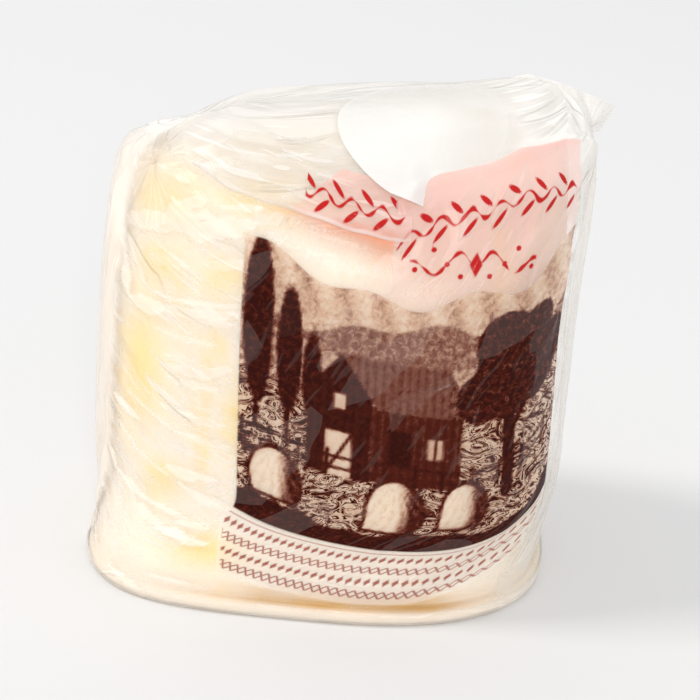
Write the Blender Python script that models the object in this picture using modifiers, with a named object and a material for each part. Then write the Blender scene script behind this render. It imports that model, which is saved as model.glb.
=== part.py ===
"""Provola cheese standing in its snug clear bag, with the round label on the top.

Metres, +Z up.  The printed front of the bag faces -Y, the origin is the middle of
the face that it rests on.  The bag is sealed, so the cheese and the film round it
are one solid, and the label is a thin disc that lies on it.
"""

import math

import bmesh
import bpy
from mathutils import Matrix, Vector
from mathutils.bvhtree import BVHTree

MM = 0.001

# ---- the foot: the rolled lip of film all round the face that the bag rests on
FOOT_LEFT = -50.2 * MM
FOOT_RIGHT = 46.3 * MM
FOOT_FRONT = -39.1 * MM
FOOT_BACK = 38.2 * MM
FOOT_CENTRE = (-4.5 * MM, 4.3 * MM)
FOOT_SQUARENESS = (3.6, 2.7)        # left side, right side
FOOT_TURN = math.radians(-1.3)
LIP_HEIGHT = 3.6 * MM
LIP_ROLL = 0.028                    # how far the lip stands out, as a share of the foot

# ---- the waist: the block at half its height
WAIST_LEFT = -51.0 * MM
WAIST_RIGHT = 47.5 * MM
WAIST_FRONT = -36.4 * MM
WAIST_BACK = 39.1 * MM
WAIST_CENTRE = (9.5 * MM, 5.3 * MM)
WAIST_SQUARENESS = (2.4, 2.6)
FLARE_SHARE = 0.22                  # share of the height over which foot turns to waist

# ---- the top: film drawn over the block up to a seam that runs from left to right
SEAM_Y = 3.0 * MM
SEAM_MIDDLE_X = 4.5 * MM
SEAM_SHORTENING = 0.04              # cosine at which the ends stop closing: the seam's length
TOP_AT_LEFT = 85.5 * MM
SHOULDER_RISE = 6.5 * MM            # rounded left shoulder
SHOULDER_SPAN = (-46.0 * MM, -20.0 * MM)
SEAM_RISE = 7.0 * MM                # slow climb of the seam towards the right
SEAM_SPAN = (-30.0 * MM, 25.0 * MM)
PEAK_RISE = 2.6 * MM                # peak beside the right corner
PEAK_SPAN = (16.0 * MM, 32.0 * MM)
CORNER_DROP = 4.4 * MM              # and the fall from it to the corner
CORNER_SPAN = (32.5 * MM, 48.0 * MM)
SIDE_SQUARENESS = (30.0, 44.0)      # how upright the two ends stand, left and right
CROWN_SQUARENESS = (3.8, 2.6)       # how boxy front and back turn into the top
CROWN_SPAN = (25.0 * MM, -25.0 * MM)

# ---- mesh steps of the block
AROUND = 76
LEVELS = 40
LIP_START = 1 / LEVELS
LIP_END = 6 / LEVELS
LAST_RING = (LEVELS - 1) / LEVELS
WELD = 0.01 * MM

# ---- pinched corners of the film: flattened cones from root to tip
CORNER_SIDES = 14
CORNERS = {
    "seam_corner_right": {
        "root": (35.0 * MM, 5.5 * MM, 94.6 * MM),
        "tip": (50.65 * MM, 8.5 * MM, 96.2 * MM),
        "radii": (6.4 * MM, 1.7 * MM),
        "thin": Vector((0.0, 1.0, 0.0)),
        "flatness": 0.5,
    },
    "foot_corner_left": {
        "root": (-36.0 * MM, -13.0 * MM, 11.0 * MM),
        "tip": (-49.9 * MM, -20.0 * MM, 4.6 * MM),
        "radii": (9.5 * MM, 1.0 * MM),
        "thin": Vector((0.5, -0.85, 0.0)),
        "flatness": 0.7,
    },
}

# ---- the round label on the slope of the top
LABEL_CENTRE = (13.0 * MM, -13.6 * MM)
LABEL_RADIUS = 17.2 * MM
LABEL_THICKNESS = 0.35 * MM
LABEL_GAP = 0.3 * MM
LABEL_STEPS = 16
LABEL_TILT = math.radians(34)       # the slope that it is stuck on


def smooth_step(start, end, x):
    """0 before start, 1 after end, and a smooth S between them."""
    t = min(max((x - start) / (end - start), 0.0), 1.0)
    return t * t * (3 - 2 * t)


def squared_oval(angle, left, right, front, back, centre, squareness):
    """Point of an oval with four unlike quarters, more boxy as squareness grows."""
    cos, sin = math.cos(angle), math.sin(angle)
    power = squareness[0] + (squareness[1] - squareness[0]) * smooth_step(-0.5, 0.5, cos)
    half_x = right - centre[0] if cos > 0 else centre[0] - left
    half_y = back - centre[1] if sin > 0 else centre[1] - front
    reach = (abs(cos / half_x) ** power + abs(sin / half_y) ** power) ** (-1 / power)
    return centre[0] + reach * cos, centre[1] + reach * sin


def foot_outline(angle):
    """The outer edge of the rolled lip, turned a little on the block."""
    x, y = squared_oval(angle, FOOT_LEFT, FOOT_RIGHT, FOOT_FRONT, FOOT_BACK,
                        FOOT_CENTRE, FOOT_SQUARENESS)
    cos, sin = math.cos(FOOT_TURN), math.sin(FOOT_TURN)
    return x * cos - y * sin, x * sin + y * cos


def waist_outline(angle):
    """The plan of the block at half its height."""
    return squared_oval(angle, WAIST_LEFT, WAIST_RIGHT, WAIST_FRONT, WAIST_BACK,
                        WAIST_CENTRE, WAIST_SQUARENESS)


def seam_height(x):
    """Height of the seam along the top: left shoulder, slow climb, peak, right corner."""
    return (TOP_AT_LEFT + SHOULDER_RISE * smooth_step(*SHOULDER_SPAN, x)
            + SEAM_RISE * smooth_step(*SEAM_SPAN, x)
            + PEAK_RISE * smooth_step(*PEAK_SPAN, x)
            - CORNER_DROP * smooth_step(*CORNER_SPAN, x))


def bag_point(angle, level):
    """Point of the bag at an angle round it and a level from 0 (foot) to 1 (seam)."""
    foot_x, foot_y = foot_outline(angle)
    neck = 1 - LIP_ROLL
    if level <= LIP_END:
        roll = max((level - LIP_START) / (LIP_END - LIP_START), 0.0)
        share = min(level / LIP_START, 1.0) * neck + LIP_ROLL * math.sin(math.pi * roll)
        height = LIP_HEIGHT * (1 - math.cos(math.pi * roll)) / 2
        return foot_x * share, foot_y * share, height
    waist_x, waist_y = waist_outline(angle)
    climb = (level - LIP_END) / (1 - LIP_END) * math.pi / 2
    cos, sin = max(math.cos(climb), 0.0), math.sin(climb)
    leftness = smooth_step(*CROWN_SPAN, waist_x)
    side = SIDE_SQUARENESS[1] + (SIDE_SQUARENESS[0] - SIDE_SQUARENESS[1]) * leftness
    crown = CROWN_SQUARENESS[1] + (CROWN_SQUARENESS[0] - CROWN_SQUARENESS[1]) * leftness
    rise = sin ** (2 / crown)
    flare = smooth_step(0.0, FLARE_SHARE, rise)
    wall_x = (1 - flare) * foot_x * neck + flare * waist_x
    wall_y = (1 - flare) * foot_y * neck + flare * waist_y
    x = SEAM_MIDDLE_X + (wall_x - SEAM_MIDDLE_X) * max(cos, SEAM_SHORTENING) ** (2 / side)
    y = SEAM_Y + (wall_y - SEAM_Y) * cos ** (2 / crown)
    return x, y, LIP_HEIGHT + (seam_height(x) - LIP_HEIGHT) * rise


def plain_material(name, colour, roughness):
    """A Principled material of one colour."""
    material = bpy.data.materials.new(name)
    material.use_nodes = True
    shader = material.node_tree.nodes["Principled BSDF"]
    shader.inputs["Base Color"].default_value = (*colour, 1.0)
    shader.inputs["Roughness"].default_value = roughness
    shader.inputs["Metallic"].default_value = 0.0
    return material


def add_object(name, mesh, collection, material=None):
    """An object of the mesh in the collection, shaded smooth."""
    mesh.shade_smooth()
    obj = bpy.data.objects.new(name, mesh)
    if material:
        mesh.materials.append(material)
    collection.objects.link(obj)
    return obj


def mesh_from(bm, name):
    """The bmesh as a mesh with its faces pointing out."""
    bmesh.ops.recalc_face_normals(bm, faces=bm.faces)
    mesh = bpy.data.meshes.new(name)
    bm.to_mesh(mesh)
    bm.free()
    return mesh


def block_mesh():
    """A ball whose rings and meridians are laid onto the form of the bag.

    Front and back of the last ring meet on the seam, and are welded there.
    """
    bm = bmesh.new()
    bmesh.ops.create_uvsphere(bm, u_segments=AROUND, v_segments=LEVELS, radius=1.0)
    pole = max(bm.verts, key=lambda vertex: vertex.co.z)
    bmesh.ops.delete(bm, geom=[pole], context="VERTS")
    for vertex in bm.verts:
        x, y, z = vertex.co
        angle = math.atan2(y, x)
        level = 1 - math.acos(min(max(z, -1.0), 1.0)) / math.pi
        if level > LIP_END:
            level = LIP_END + (level - LIP_END) * (1 - LIP_END) / (LAST_RING - LIP_END)
        if level > LAST_RING:
            angle = -abs(angle)
        vertex.co = bag_point(angle, min(level, 1.0))
    bmesh.ops.remove_doubles(bm, verts=bm.verts, dist=WELD)
    return mesh_from(bm, "cheese_bag")


def corner_mesh(name, root, tip, radii, thin, flatness):
    """A cone from root to tip, flattened along thin: film pinched to a corner."""
    start, end = Vector(root), Vector(tip)
    axis = (end - start).normalized()
    across = (thin - axis * thin.dot(axis)).normalized()
    side = across.cross(axis)
    frame = Matrix((side, across * flatness, axis)).transposed().to_4x4()
    frame.translation = (start + end) / 2
    bm = bmesh.new()
    bmesh.ops.create_cone(bm, cap_ends=True, segments=CORNER_SIDES, radius1=radii[0],
                          radius2=radii[1], depth=(end - start).length, matrix=frame)
    return mesh_from(bm, name)


def label_mesh(bag):
    """A disc of square cells laid on the bag along its own normal.

    Each point lies at the highest place of the film within one cell of it, because a
    label is stiffer than film and bridges its hollows.
    """
    tree = BVHTree.FromPolygons([v.co for v in bag.vertices],
                                [p.vertices for p in bag.polygons])
    normal = Vector((0.0, -math.sin(LABEL_TILT), math.cos(LABEL_TILT)))
    uphill = Vector((0.0, math.cos(LABEL_TILT), math.sin(LABEL_TILT)))
    right = Vector((1.0, 0.0, 0.0))
    middle = tree.ray_cast(Vector((*LABEL_CENTRE, 1.0)), Vector((0.0, 0.0, -1.0)))[0]
    above = middle + normal * LABEL_RADIUS
    cell = 2 * LABEL_RADIUS / LABEL_STEPS
    around = [Vector((a, b)) * cell for a in (-1, 0, 1) for b in (-1, 0, 1)]
    bm = bmesh.new()
    bmesh.ops.create_grid(bm, x_segments=LABEL_STEPS, y_segments=LABEL_STEPS, size=1.0)
    for vertex in bm.verts:
        a, b = vertex.co.x, vertex.co.y
        place = Vector((a * math.sqrt(1 - b * b / 2), b * math.sqrt(1 - a * a / 2))) * LABEL_RADIUS
        falls = []
        for step in around:
            start = above + right * (place.x + step.x) + uphill * (place.y + step.y)
            falls.append(tree.ray_cast(start, -normal)[3])
        fall = min(falls) - LABEL_GAP
        vertex.co = above + right * place.x + uphill * place.y - normal * fall
    mesh = bpy.data.meshes.new("round_label")
    bm.to_mesh(mesh)
    bm.free()
    return mesh


for leftover in list(bpy.data.objects):
    bpy.data.objects.remove(leftover, do_unlink=True)

parts = bpy.data.collections.new("provola_cheese")
cutters = bpy.data.collections.new("bag_corners")
bpy.context.scene.collection.children.link(parts)
bpy.context.scene.collection.children.link(cutters)

# ---- the bag with the cheese in it, and its pinched corners
cream = plain_material("cheese_in_clear_film", (0.93, 0.83, 0.62), 0.28)
block = block_mesh()
label_sheet = label_mesh(block)
cheese_bag = add_object("cheese_bag", block, parts, cream)
for corner_name, corner in CORNERS.items():
    pinch = add_object(corner_name, corner_mesh(corner_name, **corner), cutters)
    pinch.hide_render = True
    pinch.display_type = "WIRE"
join = cheese_bag.modifiers.new("film corners", "BOOLEAN")
join.operation = "UNION"
join.operand_type = "COLLECTION"
join.collection = cutters
join.solver = "EXACT"

# ---- the round label, a thin disc that follows the film
white = plain_material("white_label_film", (0.95, 0.95, 0.94), 0.35)
round_label = add_object("round_label", label_sheet, parts, white)
wall = round_label.modifiers.new("label thickness", "SOLIDIFY")
wall.thickness = LABEL_THICKNESS
wall.offset = 1.0
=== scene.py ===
"""Provola cheese in its snug clear printed bag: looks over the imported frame, in metres."""
import math

import bmesh
import bpy
import numpy as np
from mathutils import Matrix, Vector
from mathutils.geometry import delaunay_2d_cdt


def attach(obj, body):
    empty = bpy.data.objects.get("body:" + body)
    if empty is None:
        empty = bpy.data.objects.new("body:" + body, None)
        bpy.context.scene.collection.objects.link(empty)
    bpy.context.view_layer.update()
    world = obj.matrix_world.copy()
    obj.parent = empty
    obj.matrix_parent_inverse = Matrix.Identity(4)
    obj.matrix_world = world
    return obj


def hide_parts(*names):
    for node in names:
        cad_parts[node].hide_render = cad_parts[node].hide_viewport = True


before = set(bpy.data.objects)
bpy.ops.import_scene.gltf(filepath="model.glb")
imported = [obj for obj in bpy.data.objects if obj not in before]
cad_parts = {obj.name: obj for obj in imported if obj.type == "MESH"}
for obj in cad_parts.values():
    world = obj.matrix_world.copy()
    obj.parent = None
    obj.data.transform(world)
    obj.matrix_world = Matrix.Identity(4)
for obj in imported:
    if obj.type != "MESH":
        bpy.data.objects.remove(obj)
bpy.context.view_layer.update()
MM = 0.001


# ==== Studio ================
# A pale floor that fills the view, a wide softbox before the bag, one high on its left,
# a weak one over the top, and a bright even room.  The long lens looks down on the
# front of the bag and leans a little, as the photograph does.
CAMERA_TARGET = Vector((1.5, -3.65, 44.0)) * MM
CAMERA_DISTANCE = 348.5 * MM
CAMERA_ELEVATION = math.radians(21)
CAMERA_LEAN = math.radians(4.8)
SENSOR_WIDTH = 36.0  # mm
LENS = SENSOR_WIDTH * 1700 / 700  # a focal length of 1700 on an image 700 wide
FLOOR_SIZE = 8.0
SOFTBOXES = {  # place, side, radiant power, colour
    "front_softbox": ((0.30, -4.60, 2.00), 1.60, 90.0, "fffaf4"),
    "left_softbox": ((-3.10, -0.30, 3.70), 1.20, 72.0, "fffdf8"),
    "top_softbox": ((0.50, 0.80, 4.40), 1.70, 12.0, "ffffff"),
}
ROOM_COLOUR = "f4f5f6"
ROOM_STRENGTH = 0.79
ROOM_IN_REFLECTIONS = 0.93  # the tent is brighter where the film mirrors it


def linear(hex_colour):
    """An sRGB hex colour as linear red, green, blue and alpha 1."""
    channels = [int(hex_colour[i:i + 2], 16) / 255 for i in (0, 2, 4)]
    return (*[c / 12.92 if c <= 0.04045 else ((c + 0.055) / 1.055) ** 2.4
              for c in channels], 1.0)


def new_material(name):
    """The empty node tree of a new material, and the material."""
    material = bpy.data.materials.new(name)
    material.use_nodes = True
    material.node_tree.nodes.clear()
    return material.node_tree, material


class Value:
    """An output of a node.  Reckoning with it adds nodes to the same tree."""

    def __init__(self, socket):
        self.socket = socket

    def also(self, output):
        """Another output of the same node."""
        return Value(self.socket.node.outputs[output])

    def feed(self, kind, inputs, output=0, **settings):
        """A new node in the same tree."""
        return add_node(self.socket.id_data, kind, inputs, output, **settings)

    def math(self, kind, other=0.0, **settings):
        """A Math node of the kind, with this as its first input."""
        return self.feed("Math", {0: self, 1: other}, operation=kind, **settings)

    def __add__(self, other):
        return self.math("ADD", other)

    def __sub__(self, other):
        return self.math("SUBTRACT", other)

    def __mul__(self, other):
        return self.math("MULTIPLY", other)

    def over(self, low, high, to_low=0.0, to_high=1.0, **settings):
        """Its place between low and high, laid between to_low and to_high."""
        return self.feed("MapRange", {"Value": self, "From Min": low, "From Max": high,
                                      "To Min": to_low, "To Max": to_high}, **settings)

    def noise(self, scale, detail, roughness=0.5, distortion=0.0, **settings):
        """Noise at the place that it gives."""
        return self.feed("TexNoise", {"Vector": self, "Scale": scale, "Detail": detail,
                                      "Roughness": roughness, "Distortion": distortion},
                         "Fac", **settings)

    def bump(self, strength, distance):
        """The normal of a surface that it raises."""
        return self.feed("Bump", {"Height": self, "Strength": strength, "Distance": distance})

    def blend(self, first, second):
        """The first shader where it is 0, the second where it is 1."""
        return self.feed("MixShader", {0: self, 1: first, 2: second})

    def between(self, first, second):
        """The first colour where it is 0, the second where it is 1."""
        return self.feed("Mix", {"Factor": self, "A": first, "B": second}, "Result",
                         data_type="RGBA")


def add_node(tree, kind, inputs=None, output=0, stops=(), **settings):
    """Add a node and return one of its outputs.  inputs maps a socket to a number, a
    colour or the output that feeds it, stops gives a ramp's places and colours, and
    settings are the node's own properties."""
    made = tree.nodes.new("ShaderNode" + kind)
    for key, value in settings.items():
        setattr(made, key, value)
    for key, value in (inputs or {}).items():
        if isinstance(value, Value):
            tree.links.new(value.socket, made.inputs[key])
        else:
            made.inputs[key].default_value = value
    for index, (place, colour) in enumerate(stops):
        ramp = made.color_ramp.elements
        stop = ramp[index] if index < 2 else ramp.new(place)
        stop.position, stop.color = place, linear(colour)
    return Value(made.outputs[output]) if made.outputs else None


def attribute(tree, name):
    """The piece's layer of that name."""
    return add_node(tree, "Attribute", output="Fac", attribute_name=name)


gaze = Vector((0, math.cos(CAMERA_ELEVATION), -math.sin(CAMERA_ELEVATION)))
above = Vector((0, math.sin(CAMERA_ELEVATION), math.cos(CAMERA_ELEVATION)))
side = Vector((1, 0, 0))
camera_right = side * math.cos(CAMERA_LEAN) + above * math.sin(CAMERA_LEAN)
camera_up = above * math.cos(CAMERA_LEAN) - side * math.sin(CAMERA_LEAN)
camera_data = bpy.data.cameras.new("camera")
camera_data.sensor_width = SENSOR_WIDTH
camera_data.lens = LENS
camera_data.clip_start, camera_data.clip_end = 0.01, 50
camera = bpy.data.objects.new("camera", camera_data)
camera.matrix_world = (Matrix.Translation(CAMERA_TARGET - gaze * CAMERA_DISTANCE)
                       @ Matrix((camera_right, camera_up, -gaze)).transposed().to_4x4())
bpy.context.collection.objects.link(camera)
bpy.context.scene.camera = camera
bpy.context.scene.view_settings.view_transform = "Standard"

for name, (place, width, power, colour) in SOFTBOXES.items():
    lamp = bpy.data.lights.new(name, "AREA")
    lamp.shape, lamp.size, lamp.energy = "SQUARE", width, power
    lamp.color = linear(colour)[:3]
    softbox = bpy.data.objects.new(name, lamp)
    softbox.location = place
    softbox.rotation_euler = (-Vector(place)).to_track_quat("-Z", "Y").to_euler()
    bpy.context.collection.objects.link(softbox)

room = bpy.data.worlds.new("room")
room.use_nodes = True
tree = room.node_tree
tree.nodes.clear()
tent, mirrored = (add_node(tree, "Background", {"Color": linear(ROOM_COLOUR), "Strength": strength})
                  for strength in (ROOM_STRENGTH, ROOM_IN_REFLECTIONS))
seen = add_node(tree, "LightPath", output="Is Glossy Ray").blend(tent, mirrored)
add_node(tree, "OutputWorld", {"Surface": seen})
bpy.context.scene.world = room

floor_mesh = bpy.data.meshes.new("floor")
floor_mesh.from_pydata([(x * FLOOR_SIZE / 2, y * FLOOR_SIZE / 2, 0)
                        for x, y in ((-1, -1), (1, -1), (1, 1), (-1, 1))], [], [(0, 1, 2, 3)])
floor = bpy.data.objects.new("floor", floor_mesh)
bpy.context.collection.objects.link(floor)

# Matt white paper: a soft white without shine.
tree, paper = new_material("matt_white_paper")
tooth = add_node(tree, "TexCoord", output="Object").noise(900.0, 2.0).bump(0.05, 0.1 * MM)
sheet = add_node(tree, "BsdfPrincipled", {"Base Color": linear("e7e7e8"), "Roughness": 0.9,
                                          "Specular IOR Level": 0.1, "Normal": tooth})
add_node(tree, "OutputMaterial", {"Surface": sheet})
floor_mesh.materials.append(paper)


# ==== Cheese ================
# A rounded block of stretched-curd cheese, pressed to the form of its bag: a squarer
# foot with a flange that fills the rolled lip, and a rounder body.  The paste is
# moist, pale cream and fibrous, with yellower patches where the film lies close.  A golden
# whey tint, deepened as painted shade, lies in the crease over the lip and under the foot.
BAG = {  # mm: left, right, front, back; centre; squareness
    "foot": ((-50.2, 46.3, -39.1, 38.2), (-4.5, 4.3), (3.6, 2.7)),
    "waist": ((-51.0, 47.5, -36.4, 39.1), (9.5, 5.3), (2.4, 2.6)),
    "lip_height": 3.6, "top_at_left": 85.5, "seam_rise": 7.0, "peak_rise": 2.6,
}
CHEESE = {  # the same for the block in the bag
    "foot": ((-49.7, 45.8, -38.7, 37.7), (-4.5, 4.3), (3.6, 2.7)),
    "waist": ((-50.0, 43.4, -35.5, 37.8), (9.5, 5.3), (2.4, 2.6)),
    "lip_height": 3.3, "top_at_left": 83.2, "seam_rise": 4.6, "peak_rise": -0.8,
}
FOOT_TURN = math.radians(-1.3)
LIP_ROLL = 0.028  # how far the lip stands out, as a share of the foot
SHOULDER_RISE, SHOULDER_SPAN = 6.5, (-46.0, -20.0)
SEAM_SPAN = (-30.0, 25.0)
PEAK_SPAN = (16.0, 32.0)
CORNER_DROP, CORNER_SPAN = 4.4, (32.5, 48.0)
SEAM_X, SEAM_Y = 4.5, 3.0
SIDE_SQUARENESS = (30.0, 44.0)  # left and right end
CROWN_SQUARENESS = (3.8, 2.6)
CROWN_SPAN = (25.0, -25.0)
FLARE_SHARE = 0.22
LIP_START, LIP_END = 1 / 40, 6 / 40  # levels between which the lip rolls
CHEESE_AROUND, CHEESE_LEVELS = 300, 190
PASTE_SWELL = 0.45  # mm, soft uneven swelling of the pressed curd
CHEESE_STANDS = 0.3  # mm over the table, on the film
YELLOW_PATCHES = (  # mm: place and size
    ((-38, -16.6, 78), (10, 9, 6)), ((-40, -23, 45), (6, 9, 13)), ((-37, -22, 65), (6, 6, 4)),
    ((-24, -31, 66), (5, 5, 4)), ((-19, -33.2, 39), (3, 4, 7)), ((-24, -35.2, 12), (8, 4, 3.5)),
    ((-34, -27, 22), (5, 4.5, 4)), ((-17, -26, 80.7), (9, 7, 3)), ((-14, -12, 90), (14, 8, 5)),
)
PASTE_HEX = {"cream": "f6eada", "yellow": "fbdf9c", "whey_and_shade": "c8963c"}


def ease(start, end, x):
    """0 before start, 1 after end, and a smooth S between them."""
    t = np.clip((x - start) / (end - start), 0.0, 1.0)
    return t * t * (3 - 2 * t)


def squared_oval(angle, sides, centre, squareness):
    """An oval of four unlike quarters: |x/a|^n + |y/b|^n = 1, with n per side."""
    left, right, front, back = sides
    cos, sin = np.cos(angle), np.sin(angle)
    power = squareness[0] + (squareness[1] - squareness[0]) * ease(-0.5, 0.5, cos)
    half_x = np.where(cos > 0, right - centre[0], centre[0] - left)
    half_y = np.where(sin > 0, back - centre[1], centre[1] - front)
    reach = (np.abs(cos / half_x) ** power + np.abs(sin / half_y) ** power) ** (-1 / power)
    return centre[0] + reach * cos, centre[1] + reach * sin


def seam_height(x, form):
    """Height of the top seam: left shoulder, slow climb, peak, fall to the right corner."""
    return (form["top_at_left"] + SHOULDER_RISE * ease(*SHOULDER_SPAN, x)
            + form["seam_rise"] * ease(*SEAM_SPAN, x)
            + form["peak_rise"] * ease(*PEAK_SPAN, x)
            - CORNER_DROP * ease(*CORNER_SPAN, x))


def bag_form(angle, level, form):
    """Points in mm of the block at angles round it and levels from 0 (foot) to 1 (seam).

    Up to LIP_END the foot's outline rolls up as a half circle.  Above it the outline
    turns from foot to waist and closes on the seam as a superellipse, x and y each
    with its own power of the cosine and the height with that of the sine.
    """
    foot_x, foot_y = squared_oval(angle, *form["foot"])
    cos, sin = math.cos(FOOT_TURN), math.sin(FOOT_TURN)
    foot_x, foot_y = foot_x * cos - foot_y * sin, foot_x * sin + foot_y * cos
    waist_x, waist_y = squared_oval(angle, *form["waist"])
    lip, neck = form["lip_height"], 1 - LIP_ROLL
    roll = np.clip((level - LIP_START) / (LIP_END - LIP_START), 0, 1)
    share = np.minimum(level / LIP_START, 1) * neck + LIP_ROLL * np.sin(np.pi * roll)
    climb = np.clip((level - LIP_END) / (1 - LIP_END), 0, 1) * np.pi / 2
    cos, sin = np.maximum(np.cos(climb), 0.0), np.sin(climb)
    leftness = ease(*CROWN_SPAN, waist_x)
    side = SIDE_SQUARENESS[1] + (SIDE_SQUARENESS[0] - SIDE_SQUARENESS[1]) * leftness
    crown = CROWN_SQUARENESS[1] + (CROWN_SQUARENESS[0] - CROWN_SQUARENESS[1]) * leftness
    rise = sin ** (2 / crown)
    flare = ease(0.0, FLARE_SHARE, rise)
    wall_x = (1 - flare) * foot_x * neck + flare * waist_x
    wall_y = (1 - flare) * foot_y * neck + flare * waist_y
    x = SEAM_X + (wall_x - SEAM_X) * np.maximum(cos, 0.04) ** (2 / side)
    y = SEAM_Y + (wall_y - SEAM_Y) * cos ** (2 / crown)
    z = lip + (seam_height(x, form) - lip) * rise
    rolled = level <= LIP_END
    return np.stack([np.where(rolled, foot_x * share, x),
                     np.where(rolled, foot_y * share, y),
                     np.where(rolled, lip * (1 - np.cos(np.pi * roll)) / 2, z)], -1)


def outward(points):
    """Unit normals of a grid of points whose columns go round and whose rows go up."""
    normal = np.cross(np.gradient(points, axis=1), np.gradient(points, axis=0))
    return normal / (np.linalg.norm(normal, axis=2, keepdims=True) + 1e-12)


def waves(points, length, seed, octaves=3):
    """Smooth uneven swelling from -1 to 1: sums of sines along random directions, the
    wavelength and the height halved with each octave."""
    random = np.random.default_rng(seed)
    total = np.zeros(points.shape[:-1])
    for octave in range(octaves):
        for _ in range(4):
            way = random.normal(size=points.shape[-1])
            way *= 2 * np.pi / (length / 2 ** octave) / np.linalg.norm(way)
            total += np.sin(points @ way + random.uniform(0, 2 * np.pi)) / 2 ** octave
    return total / (4 * (2 - 0.5 ** (octaves - 1)))


def grid_piece(name, points, material, layers=None, surface_mm=None, fold_mm=None,
               closed=False):
    """A piece from a grid of points in mm: rows go up, columns go round from left to
    right as seen from outside.  layers are float attributes, surface_mm and fold_mm UV
    maps in millimetres, per point or per corner of each face.  Doubles are merged, so
    poles and seams close."""
    rows, columns = points.shape[:2]
    index = np.arange(rows * columns).reshape(rows, columns)
    if closed:
        index = np.concatenate([index, index[:, :1]], 1)
    quads = np.stack([index[:-1, :-1], index[:-1, 1:], index[1:, 1:], index[1:, :-1]],
                     -1).reshape(-1, 4)
    mesh = bpy.data.meshes.new(name)
    mesh.vertices.add(rows * columns)
    mesh.vertices.foreach_set("co", (points * MM).astype(np.float32).ravel())
    mesh.loops.add(quads.size)
    mesh.loops.foreach_set("vertex_index", quads.astype(np.int32).ravel())
    mesh.polygons.add(len(quads))
    mesh.polygons.foreach_set("loop_start", np.arange(0, quads.size, 4, dtype=np.int32))
    mesh.update(calc_edges=True)
    for uv_name, plan in (("surface_mm", surface_mm), ("fold_mm", fold_mm)):
        if plan is not None:
            corners = plan.reshape(-1, 2)[quads.ravel()] if plan.ndim == 3 else plan
            mesh.uv_layers.new(name=uv_name).data.foreach_set(
                "uv", corners.astype(np.float32).ravel())
    for layer, values in (layers or {}).items():
        mesh.attributes.new(layer, "FLOAT", "POINT").data.foreach_set(
            "value", values.astype(np.float32).ravel())
    bm = bmesh.new()
    bm.from_mesh(mesh)
    bmesh.ops.remove_doubles(bm, verts=bm.verts, dist=0.002 * MM)
    bm.to_mesh(mesh)
    bm.free()
    mesh.shade_smooth()
    mesh.materials.append(material)
    piece = bpy.data.objects.new(name, mesh)
    bpy.context.collection.objects.link(piece)
    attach(piece, "root")
    return piece


def even_levels(form, count):
    """Levels spaced evenly along the meridian in the middle of the front."""
    level = np.linspace(0, 1, 4001)
    path = bag_form(np.full_like(level, -np.pi / 2), level, form)
    length = np.append(0, np.cumsum(np.linalg.norm(np.diff(path, axis=0), axis=1)))
    return np.interp(np.linspace(0, length[-1], count), length, level)


# Provola paste: light goes a few millimetres into it, so its shadows are warm.
tree, paste = new_material("provola_paste")
stretched = add_node(tree, "Mapping", {"Vector": add_node(tree, "TexCoord", output="Object"),
                                       "Scale": (1.0, 1.0, 0.45)})
patches = stretched.noise(62.0, 3.0, distortion=0.6)
yellower = attribute(tree, "yellow").math(
    "MAXIMUM", patches.over(0.57, 0.88, interpolation_type="SMOOTHSTEP"))
curd = yellower.between(linear(PASTE_HEX["cream"]), linear(PASTE_HEX["yellow"]))
body = add_node(tree, "BsdfPrincipled", {
    "Base Color": attribute(tree, "whey_and_shade").between(curd, linear(PASTE_HEX["whey_and_shade"])),
    "Roughness": 0.42, "IOR": 1.42, "Subsurface Weight": 0.55,
    "Subsurface Radius": (1.0, 0.85, 0.62), "Subsurface Scale": 1.8 * MM,
    "Normal": stretched.noise(420.0, 4.0, distortion=1.2).bump(0.35, 0.5 * MM)})
add_node(tree, "OutputMaterial", {"Surface": body})

angles = np.linspace(-np.pi, np.pi, CHEESE_AROUND, endpoint=False)[None, :]
levels = even_levels(CHEESE, CHEESE_LEVELS)[:, None]
block = bag_form(angles, levels + 0 * angles, CHEESE)
swell = PASTE_SWELL * waves(block, 24.0, 5) * ease(4.0, 14.0, block[..., 2])
block += outward(block) * swell[..., None]
block[..., 2] += CHEESE_STANDS
block_x, height = block[..., 0], block[..., 2]
yellow = np.max([np.exp(-(((block - middle) / size) ** 2).sum(-1)) for middle, size in
                 YELLOW_PATCHES], axis=0)
# partly the wet paste's own whey colour and partly painted shade: a golden band just above the lip,
# a darker line in the crease over the lip, and a darker underside of the foot
in_flare = (ease(2.2, 3.0, height) * ease(7.6, 4.8, height)
            * (0.10 + 0.60 * ease(-34, 4, block_x)) * (0.80 + 0.40 * waves(block, 16.0, 8)))
over_lip = 0.45 * np.exp(-((height - 3.7) / 0.45) ** 2) * ease(-40, -10, block_x)
whey_and_shade = ((in_flare + over_lip) * (1 - 0.85 * ease(18, 38, block_x))
        + 0.20 * ease(1.6, 0.6, height)).clip(0, 1)
cheese = grid_piece("provola_block", block, paste, {"whey_and_shade": whey_and_shade, "yellow": yellow}, closed=True)
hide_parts("cheese_bag")


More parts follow.
